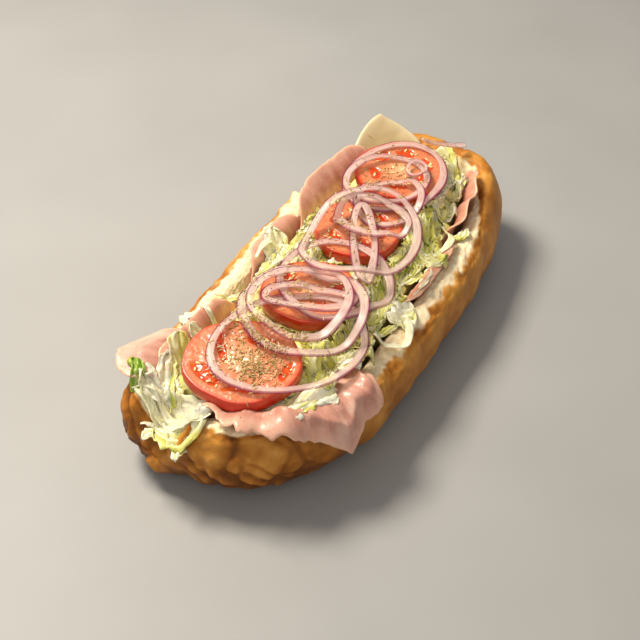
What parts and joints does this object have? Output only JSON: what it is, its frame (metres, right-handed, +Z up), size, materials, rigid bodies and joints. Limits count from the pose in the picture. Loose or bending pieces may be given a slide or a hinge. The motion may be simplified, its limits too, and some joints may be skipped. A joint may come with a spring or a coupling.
{
  "type": "submarine sandwich",
  "caption": "Open submarine sandwich: a split crusty roll lined with ham and cheese, filled with shredded lettuce and topped with tomato slices and red onion rings.",
  "frame": {"origin": "middle of the whole box, on the plane that the roll stands on", "axes": "+X along the roll, away from its notched end; +Y towards the wall with the cheese; +Z up"},
  "size_m": [0.2704, 0.1236, 0.0748],
  "materials": {
    "crust": "golden-brown baked crust with a pale cream crumb inside, matte to slightly glossy",
    "cheese": "smooth pale yellow slice, soft satin",
    "ham": "moist pink slice, faintly marbled, satin",
    "lettuce": "pale green to white wet shreds",
    "tomato": "wet cut face with paler flesh, gel and cream seeds, glossy red skin",
    "onion": "translucent white to pink band with a thin purple skin"
  },
  "bodies": {
    "root": {"roll": "crust", "cheese": "cheese", "ham_left_near": "ham", "ham_left_second": "ham", "ham_left_third": "ham", "ham_left_far": "ham", "ham_right_near": "ham", "ham_right_second": "ham", "ham_right_third": "ham", "ham_right_far": "ham", "lettuce": "lettuce", "tomato_near": "tomato", "tomato_second": "tomato", "tomato_third": "tomato", "tomato_far": "tomato", "onion_front_wide": "onion", "onion_middle_low": "onion", "onion_cross": "onion", "onion_second_outer": "onion", "onion_second_inner": "onion", "onion_far_wide": "onion", "onion_far_second": "onion", "onion_far_inner": "onion", "onion_link": "onion", "onion_third_inner": "onion", "onion_third_wide": "onion", "onion_far_small": "onion", "onion_end": "onion"}
  },
  "joints": []
}
